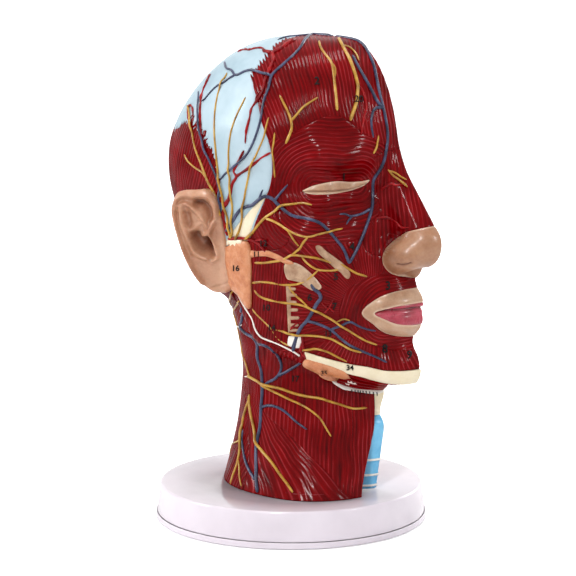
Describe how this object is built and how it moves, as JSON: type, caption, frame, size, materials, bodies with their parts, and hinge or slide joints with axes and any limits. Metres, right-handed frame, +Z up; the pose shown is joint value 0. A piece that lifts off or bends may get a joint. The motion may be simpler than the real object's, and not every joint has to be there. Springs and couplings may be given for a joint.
{
  "type": "anatomical half head model",
  "caption": "Life-size right half of a human head and neck with muscles, nerves and vessels outside and a section inside, lifting off a round base on pegs.",
  "frame": {"origin": "middle of the round base's underside, on the table", "axes": "+Z up; the face looks along -Y; the ear side looks along -X and the flat section side along +X"},
  "size_m": [0.182, 0.2167, 0.3253],
  "materials": {
    "base_white": "smooth off-white moulded plastic with a slight lavender cast, satin gloss",
    "screw_steel": "plain steel countersunk screws",
    "muscle_red": "glossy dark red paint with paler moulded fibre lines",
    "flesh": "flesh paint, satin",
    "lip_pink": "pink paint, satin",
    "gland_orange": "dull orange paint over fine lobes",
    "fat_beige": "beige paint",
    "aponeurosis_blue": "pale blue-white paint, glossy",
    "bone_cream": "cream paint",
    "cartilage_blue": "light blue paint with white lines at the rings",
    "brain_pink": "pale pink paint in darker folds",
    "brain_white": "off-white paint",
    "mucosa_pink": "pink-red paint, glossy",
    "vein_slate": "slate blue paint on raised cords",
    "artery_red": "bright red paint on raised cords",
    "nerve_yellow": "yellow paint on raised cords"
  },
  "bodies": {
    "base": {"base_tray": "base_white", "base_bottom_plate": "base_white", "locating_peg_front": "base_white", "locating_peg_rear": "base_white", "base_screw_1": "screw_steel", "base_screw_2": "screw_steel", "base_screw_3": "screw_steel"},
    "head": {"nose_muscle": "muscle_red", "eye_ring_muscle": "muscle_red", "mouth_ring_muscle": "muscle_red", "masseter_muscle": "muscle_red", "occipital_muscle": "muscle_red", "temporal_muscle": "muscle_red", "frontal_muscle": "muscle_red", "chin_muscle": "muscle_red", "cheek_muscles": "muscle_red", "throat_muscles": "muscle_red", "neck_side_muscle": "muscle_red", "nape_muscle": "muscle_red", "section_plate": "muscle_red", "neck_foot_plate": "muscle_red", "eyelids": "flesh", "lip_surround": "flesh", "nose_tip": "flesh", "ear": "flesh", "lips": "lip_pink", "parotid_gland": "gland_orange", "submandibular_gland": "gland_orange", "buccal_fat_pad": "fat_beige", "scalp_aponeurosis": "aponeurosis_blue", "temple_bone": "bone_cream", "mandible_edge": "bone_cream", "skull_section": "bone_cream", "palate_and_upper_jaw": "bone_cream", "lower_jaw_section": "bone_cream", "neck_bones": "bone_cream", "neck_bone_spines": "bone_cream", "voice_box": "bone_cream", "windpipe": "cartilage_blue", "cerebrum": "brain_pink", "cerebellum": "brain_pink", "corpus_callosum": "brain_white", "brain_stem": "brain_white", "spinal_cord": "brain_white", "nasal_wall": "mucosa_pink", "tongue": "mucosa_pink", "temporal_vein": "vein_slate", "face_vein": "vein_slate", "facial_vein": "vein_slate", "neck_vein": "vein_slate", "temporal_artery": "artery_red", "temple_nerves": "nerve_yellow", "occipital_nerve": "nerve_yellow", "forehead_nerve_forked": "nerve_yellow", "forehead_nerve_outer": "nerve_yellow", "forehead_nerve_inner": "nerve_yellow", "facial_nerve": "nerve_yellow", "jaw_nerve": "nerve_yellow", "throat_nerve": "nerve_yellow", "collar_nerves": "nerve_yellow"}
  },
  "joints": [
    {"name": "head_lift", "type": "slide", "parent": "base", "child": "head", "axis": [0, 0, 1], "range_m": [0, 0.05]}
  ]
}
